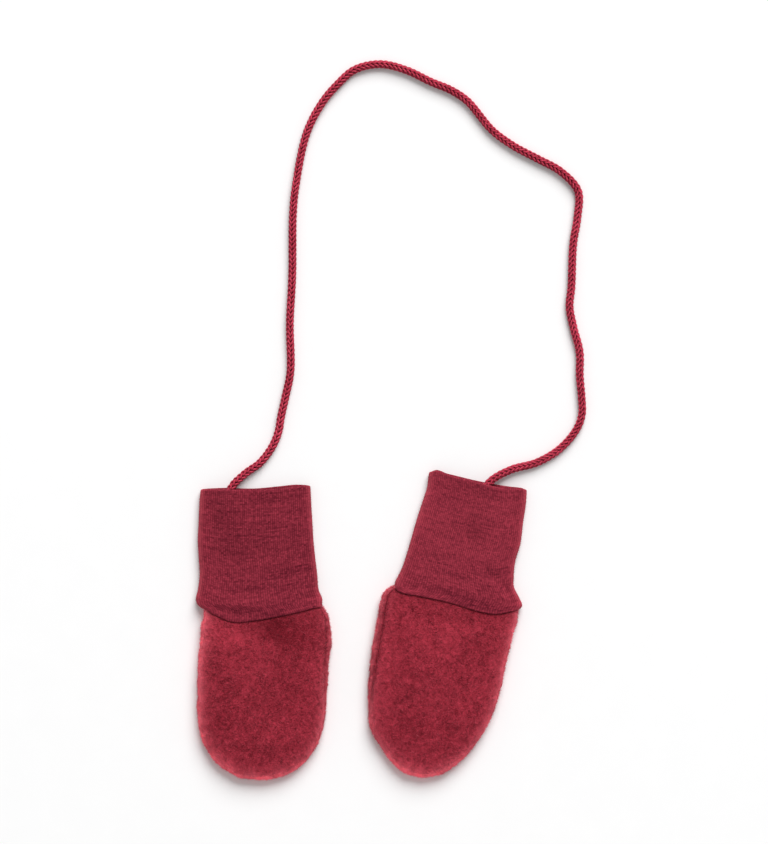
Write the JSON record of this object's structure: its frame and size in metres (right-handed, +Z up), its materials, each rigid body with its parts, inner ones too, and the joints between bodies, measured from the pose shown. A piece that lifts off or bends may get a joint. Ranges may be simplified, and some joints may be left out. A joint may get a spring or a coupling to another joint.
{
  "type": "pair of mittens",
  "caption": "Thumbless baby mittens of brushed wool fleece with doubled jersey cuffs, joined by a knitted cord and laid flat.",
  "frame": {"origin": "middle of the footprint of the two mittens, on the surface that they lie on", "axes": "+Z up from the surface, +Y from the tips towards the cuffs, +X from the left mitten to the right one as seen from above"},
  "size_m": [0.2142, 0.3953, 0.0094],
  "materials": {
    "fleece": "brushed melange wool fleece, burgundy red, matt",
    "cuff_jersey": "fine ribbed wool jersey, burgundy red melange, matt",
    "cord_yarn": "knitted wool cord, burgundy red, soft"
  },
  "bodies": {
    "root": {"left_fleece_front": "fleece", "left_fleece_back": "fleece", "left_cuff": "cuff_jersey", "right_fleece_front": "fleece", "right_fleece_back": "fleece", "right_cuff": "cuff_jersey", "cord": "cord_yarn"}
  },
  "joints": []
}
